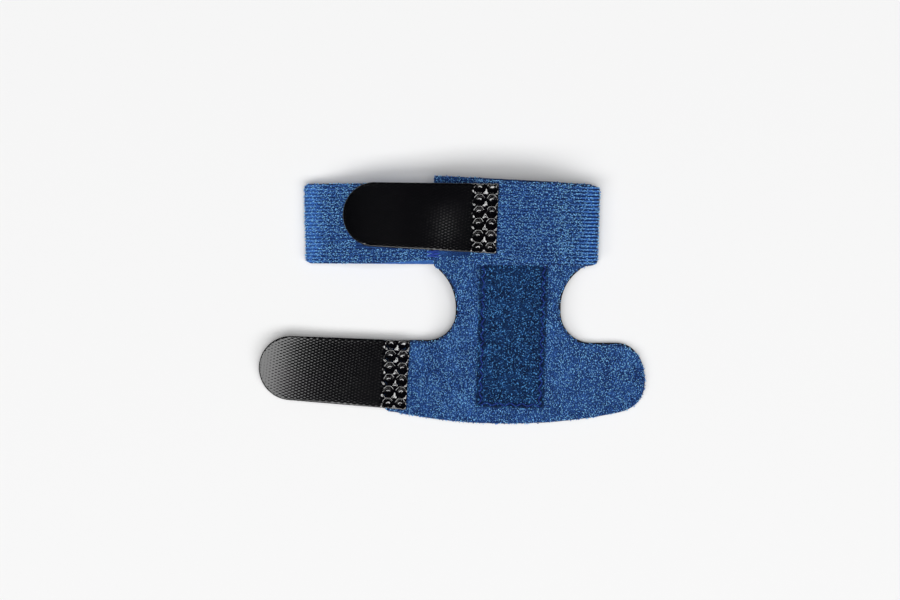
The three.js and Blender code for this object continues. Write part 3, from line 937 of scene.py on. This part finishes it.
def tape_material():
    """Black tape woven with two crossing sets of fine slanting ribs, smoother where it has melted."""
    material = bpy.data.materials.new("hook_tape_black")
    material.use_nodes = True
    tree = material.node_tree
    shader = tree.nodes["Principled BSDF"]
    flat = node_in(tree, "ShaderNodeUVMap", uv_map="weave").outputs["UV"]
    turned_weave = node_in(
        tree, "ShaderNodeMapping", {"Vector": flat, "Rotation": (0, 0, math.radians(27.5))}
    ).outputs["Vector"]
    ribs = node_in(
        tree, "ShaderNodeTexWave",
        {"Vector": turned_weave, "Scale": 0.97, "Distortion": 0.0},
        wave_type="BANDS", bands_direction="Y", wave_profile="SIN",
    ).outputs["Fac"]
    cross_weave = node_in(
        tree, "ShaderNodeMapping", {"Vector": flat, "Rotation": (0, 0, math.radians(-23.2))}
    ).outputs["Vector"]
    cross = node_in(
        tree, "ShaderNodeTexWave",
        {"Vector": cross_weave, "Scale": 0.985, "Distortion": 0.0},
        wave_type="BANDS", bands_direction="Y", wave_profile="SIN",
    ).outputs["Fac"]
    half_cross = node_in(
        tree, "ShaderNodeMath", {0: cross, 1: 0.5}, operation="MULTIPLY"
    ).outputs["Value"]
    woven = node_in(
        tree, "ShaderNodeMath", {0: ribs, 1: 0.5, 2: half_cross}, operation="MULTIPLY_ADD"
    ).outputs["Value"]
    melted = node_in(tree, "ShaderNodeAttribute", attribute_name="melt").outputs["Fac"]
    bump_strength = node_in(
        tree, "ShaderNodeMath", {0: 1.0, 1: melted}, operation="SUBTRACT"
    ).outputs["Value"]
    height = node_in(
        tree, "ShaderNodeMath", {0: woven, 1: bump_strength}, operation="MULTIPLY"
    ).outputs["Value"]
    bump = node_in(
        tree, "ShaderNodeBump", {"Height": height, "Strength": 0.75, "Distance": 0.034 * MM}
    ).outputs["Normal"]
    rough = node_in(
        tree, "ShaderNodeMapRange", {"Value": melted, "To Min": 0.185, "To Max": 0.14}
    ).outputs["Result"]
    colour = ramp_in(tree, woven, [(0.0, (0.0006, 0.0006, 0.001)), (1.0, (0.002, 0.002, 0.003))])
    tree.links.new(colour, shader.inputs["Base Color"])
    tree.links.new(bump, shader.inputs["Normal"])
    tree.links.new(rough, shader.inputs["Roughness"])
    shader.inputs["Specular IOR Level"].default_value = 0.8
    return material


tape_black = tape_material()
melted_black = weld_material()


def tape_outline(length):
    """The tongue's outline as one face: square at X = 0 and round at the left."""
    bm = bmesh.new()
    corners = [bm.verts.new((0, -weld_half, 0)), bm.verts.new((0, weld_half, 0))]
    centre = tip_radius - length
    for step in range(33):
        angle = math.pi / 2 + math.pi * step / 32
        corners.append(
            bm.verts.new((centre + tip_radius * math.cos(angle), tip_radius * math.sin(angle), 0))
        )
    bm.faces.new(corners)
    bm.normal_update()
    if bm.faces[:][0].normal.z < 0:
        bmesh.ops.reverse_faces(bm, faces=bm.faces[:])
    return bm


def weld_relief(x, y):
    """Height of the melted end above the plain tape, in the tongue's own frame."""
    zone = smoothstep(x, -weld_reach - 0.5, -weld_reach + 0.3)
    height = np.full(len(x), -0.12)
    for column in range(weld_columns):
        for row in range(weld_rows):
            away = np.hypot(
                x + weld_margin + column * weld_column_pitch,
                y - (row - (weld_rows - 1) / 2) * weld_row_pitch,
            )
            cup = -0.5 * (1 - smoothstep(away, 0.3, 1.25))
            rim = 0.22 * np.exp(-(((away - 1.4) / 0.26) ** 2))
            height = height + cup + rim
    height = height + 0.04 * np.sin(x * 5.1 + y * 1.7) * np.sin(y * 4.3 - x * 2.2)
    return zone * height, zone


def make_tab(name, node, length, place, turn, under):
    """A tab whose square end's middle is at a place, laid over under(x, y, local), and its turning."""
    bm = tape_outline(length)
    columns = np.concatenate([np.arange(-length + 1, -weld_reach, 1.2), np.arange(-weld_reach, 0, 0.5)])
    rule_grid(bm, columns, np.arange(-8, 8.1, 0.62))
    edge = bm.verts.layers.float["edge"]
    flat_layer = bm.verts.layers.float_vector.new("flat")
    for vert in bm.verts:
        vert[flat_layer] = vert.co
    raised = bmesh.ops.extrude_face_region(bm, geom=bm.faces[:])["geom"]
    upper = {v for v in raised if isinstance(v, bmesh.types.BMVert)}
    turning = Matrix.Translation((place[0], place[1], 0)) @ Matrix.Rotation(math.radians(turn), 4, "Z")
    for vert in bm.verts:
        local = vert.co.copy()
        at = turning @ local
        welded = float(smoothstep(local.x, -weld_reach - 0.6, -weld_reach + 0.2))
        low = (tab_thickness - tape_thickness) * (1 - welded)
        inward = min(vert[edge] / 0.3, 1)
        drop = 0.16 * (1 - math.sqrt(max(0, 1 - (1 - inward) ** 2)))
        height = tab_thickness - drop if vert in upper else low + drop
        vert.co = (at.x, at.y, float(under(at.x, at.y, local)) + height)
    bmesh.ops.recalc_face_normals(bm, faces=bm.faces[:])
    mesh = subdivided(mesh_from(bm, name), 2)
    flat = np.empty(len(mesh.vertices) * 3)
    mesh.attributes["flat"].data.foreach_get("vector", flat)
    flat = flat.reshape(-1, 3)
    relief, zone = weld_relief(flat[:, 0], flat[:, 1])
    upward = places_of(mesh, "normal")[:, 2] > 0.25
    raise_surface(mesh, relief * upward)
    melt = mesh.attributes.new("melt", "FLOAT", "POINT")
    melt.data.foreach_set("value", (zone * upward).astype(np.float32))
    weave = mesh.uv_layers.new(name="weave")
    corner_verts = np.empty(len(mesh.loops), np.int32)
    mesh.loops.foreach_get("vertex_index", corner_verts)
    weave.data.foreach_set("uv", (flat[corner_verts, :2] * 0.5).ravel())
    mesh.attributes.remove(mesh.attributes["flat"])
    molten = zone * upward > 0.5
    made = piece(name, mesh, tape_black)
    mesh.materials.append(melted_black)
    for polygon in mesh.polygons:
        polygon.material_index = int(all(molten[v] for v in polygon.vertices))
    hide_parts(node)
    return made, turning


def hooks_under(name, length, turning, under, rng):
    """The hooks scattered over a tab's underside: small bent posts."""
    spots = scattered((1 - length, -6.8), (-weld_reach - 0.4, 6.8), 0.85, rng)
    in_tip = np.hypot(np.minimum(spots[:, 0] - (tip_radius - length), 0), spots[:, 1]) < tip_radius - 0.8
    places = []
    for x, y in spots[in_tip]:
        local = Vector((x, y, 0))
        at = turning @ local
        foot = float(under(at.x, at.y, local)) + tab_thickness - tape_thickness
        places.append((at.x, at.y, foot - 0.22))
    count = len(places)
    facing = np.tile((0, 0, -1.0), (count, 1))
    size = {"length": 0.34, "thickness": 0.13, "arch": 0.22, "bend": 0, "tilt": 0}
    mesh = plant_loops(
        name, np.array(places), facing, headings(count, rng, 0, 15), size, np.full(count, 0.5), rng
    )
    return piece(name, mesh, core_black)


upper_length = 36.9
upper_overlap = 6.5
upper_descent = 18.5
upper_place = (lap_end + upper_overlap, strap_middle + 0.01 * strap_width + 0.75)
hang_depth = 0.75
hang_middle = 12.3
hang_reach = 3.8


def upper_under(x, y, local):
    """Level on the lap's end, then down past the panel's edge and along the strap's upper run. Between the
    two the tape hangs a little at its lower side."""
    down = smoothstep(-local.x, upper_overlap, upper_overlap + upper_descent)
    slope = arch_under(x + 0.5) - arch_under(x - 0.5)
    upper_run = arch_under(x) + strap_thickness * math.hypot(1, slope)
    lap_top = lap_on_pocket + strap_thickness
    hang = hang_depth * math.exp(-(((local.x + hang_middle) / hang_reach) ** 2))
    return lap_top + (upper_run - lap_top) * down + lay_gap - hang * float(smoothstep(-local.y, -5, 9))


lower_length = 35.8
lower_overlap = 5.5
root_twist = 1.2
tip_twist = 15
tip_drop = 0.5
left_wing_top = -7.8
hem_radius = 134
wing_end = -29.35
hem_at_wing = hem_radius - math.sqrt(hem_radius**2 - wing_end**2) - panel_depth
lower_place = (wing_end + lower_overlap, (left_wing_top + hem_at_wing) / 2)


def lower_under(x, y, local):
    """On the wing, and past its end a little lower and twisted towards the tip."""
    free = max(0, (-local.x - lower_overlap) / (lower_length - lower_overlap))
    turned_by = root_twist * float(smoothstep(free, 0, 0.3)) + tip_twist * free**3.5
    twist = local.y * math.tan(math.radians(turned_by))
    return panel_under(x, y) + panel_thickness + lay_gap - tip_drop * free + twist


strap_tab, strap_turn = make_tab(
    "strap_tab", "strap_hook_tab", upper_length, upper_place, turn=-2.2, under=upper_under
)
wing_tab, wing_turn = make_tab(
    "wing_tab", "wing_hook_tab", lower_length, lower_place, turn=-3.4, under=lower_under
)

strap_hooks = hooks_under("strap_tab_hooks", upper_length, strap_turn, upper_under, draw)
wing_hooks = hooks_under("wing_tab_hooks", lower_length, wing_turn, lower_under, draw)

# The table, the light and the camera
# The splint lies on a plain white table and is seen from straight above. A wide soft light from one side
# gives the sheen and the shadows, and one overhead fills them.
table_bm = bmesh.new()
bmesh.ops.create_grid(table_bm, x_segments=8, y_segments=8, size=1.5)
table = bpy.data.objects.new("table", mesh_from(table_bm, "table"))
bpy.context.scene.collection.objects.link(table)
table_white = bpy.data.materials.new("table_white")
table_white.use_nodes = True
table_shader = table_white.node_tree.nodes["Principled BSDF"]
table_shader.inputs["Base Color"].default_value = (0.86, 0.86, 0.86, 1)
table_shader.inputs["Roughness"].default_value = 0.8
table_shader.inputs["Specular IOR Level"].default_value = 0.2
table.data.materials.append(table_white)

world = bpy.data.worlds.new("studio")
world.use_nodes = True
world.node_tree.nodes["Background"].inputs["Color"].default_value = (1, 1, 1, 1)
world.node_tree.nodes["Background"].inputs["Strength"].default_value = 0.06
bpy.context.scene.world = world


def softbox(name, size, watts, turn, tilt):
    """A soft rectangle of light four metres from the splint, turned about Z and tilted from overhead."""
    lamp = bpy.data.lights.new(name, "AREA")
    lamp.shape = "RECTANGLE"
    lamp.size, lamp.size_y = size
    lamp.energy = watts
    obj = bpy.data.objects.new(name, lamp)
    turning = Matrix.Rotation(math.radians(turn), 4, "Z") @ Matrix.Rotation(math.radians(tilt), 4, "X")
    obj.matrix_world = turning @ Matrix.Translation((0, 0, 4))
    bpy.context.scene.collection.objects.link(obj)
    return obj


softbox("key", (8.0, 1.8), 169, 4, 29.5)
overhead = softbox("overhead", (2.6, 2.0), 78, 0, 0)
overhead.visible_glossy = False
world.cycles_visibility.glossy = False

view_distance = 0.9
cloth_level = 0.006
picture_width = 900
pixels_per_mm = 4.2
picture_shift = -2
camera = bpy.data.cameras.new("camera")
camera.sensor_width = 36
camera.lens = camera.sensor_width * (view_distance - cloth_level) / (picture_width / pixels_per_mm * MM)
camera.clip_start = 0.05
camera.clip_end = 10
camera_object = bpy.data.objects.new("camera", camera)
camera_object.location = (picture_shift / pixels_per_mm * MM, 0, view_distance)
bpy.context.scene.collection.objects.link(camera_object)
bpy.context.scene.camera = camera_object
bpy.context.scene.view_settings.view_transform = "Standard"
